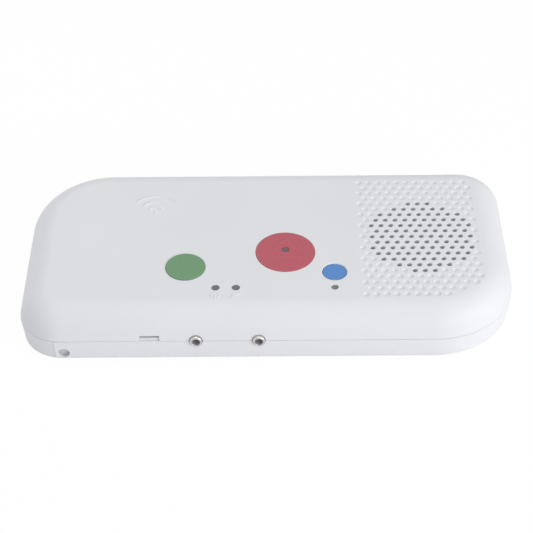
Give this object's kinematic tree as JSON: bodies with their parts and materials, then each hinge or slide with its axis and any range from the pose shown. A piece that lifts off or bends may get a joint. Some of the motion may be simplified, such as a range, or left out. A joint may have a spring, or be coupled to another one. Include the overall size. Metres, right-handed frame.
{
  "type": "nurse call room terminal",
  "caption": "Wall terminal of a nurse call system: rounded case with sprung call, presence and alarm buttons, loudspeaker grille, card reader, status windows and handset jacks.",
  "frame": {"origin": "middle of the case's outline on the wall plane", "axes": "+X to the right as one faces the terminal, +Y up the wall, +Z out of the wall through the face"},
  "size_m": [0.222, 0.1079, 0.0257],
  "materials": {
    "case_white": "fine satin moulding, cool white",
    "circuit_board": "green solder resist on glass-filled board",
    "zinc_steel": "bright zinc plate",
    "black_moulding": "black glass-filled moulding",
    "chip_black": "black chip moulding",
    "tinned_can": "tinned sheet",
    "aluminium_can": "drawn can",
    "ferrite": "sintered ferrite, dark grey",
    "cone_paper": "pressed dark paper",
    "black_foam": "closed-cell foam",
    "grille_cloth": "fine dark cloth",
    "port_gauze": "fine grey gauze",
    "terminal_strip": "bonded paper strip",
    "lead_jacket": "red soft jacket",
    "plug_white": "natural nylon",
    "led_white": "white housing with clear fill",
    "smoked_window": "smoked clear plastic",
    "black_rubber": "soft black rubber",
    "jack_nickel": "nickel plate",
    "gilt_contact": "thin gold plate",
    "terminal_green": "green nylon",
    "button_red": "soft red, satin",
    "button_green": "muted green, satin",
    "button_blue": "clear blue, satin",
    "stem_white": "off-white acetal"
  },
  "bodies": {
    "case": {"front_cover": "case_white", "rear_cover": "case_white", "main_board": "circuit_board", "board_screws": "zinc_steel", "card_reader_board": "circuit_board", "board_connector": "black_moulding", "processor": "chip_black", "radio_module": "tinned_can", "audio_amplifier": "chip_black", "capacitors": "aluminium_can", "power_inductor": "ferrite", "speaker_frame": "zinc_steel", "speaker_magnet": "ferrite", "speaker_cone": "cone_paper", "speaker_dust_cap": "cone_paper", "speaker_gasket": "black_foam", "grille_cloth": "grille_cloth", "speaker_screws": "zinc_steel", "speaker_terminal": "terminal_strip", "speaker_lead": "lead_jacket", "speaker_plug": "plug_white", "call_switches": "black_moulding", "presence_switch": "black_moulding", "alarm_switch": "black_moulding", "status_lights": "led_white", "power_window": "smoked_window", "mute_window": "smoked_window", "microphone": "tinned_can", "microphone_sleeve": "black_rubber", "microphone_gauze": "port_gauze", "left_jack_body": "black_moulding", "right_jack_body": "black_moulding", "left_jack_bushing": "jack_nickel", "right_jack_bushing": "jack_nickel", "network_socket": "black_moulding", "network_contacts": "gilt_contact", "terminal_block": "terminal_green", "terminal_screws": "zinc_steel", "lock_screw": "zinc_steel"},
    "call_button": {"call_cap": "button_red", "call_lens": "smoked_window", "call_stems": "stem_white"},
    "presence_button": {"presence_cap": "button_green", "presence_stem": "stem_white"},
    "alarm_button": {"alarm_cap": "button_blue", "alarm_stem": "stem_white"}
  },
  "joints": [
    {"name": "call_press", "type": "slide", "parent": "case", "child": "call_button", "axis": [0, 0, -1], "range_m": [0, 0.0008], "stiffness_N_per_m": 4000},
    {"name": "presence_press", "type": "slide", "parent": "case", "child": "presence_button", "axis": [0, 0, -1], "range_m": [0, 0.0008], "stiffness_N_per_m": 2500},
    {"name": "alarm_press", "type": "slide", "parent": "case", "child": "alarm_button", "axis": [0, 0, -1], "range_m": [0, 0.0008], "stiffness_N_per_m": 2500}
  ]
}
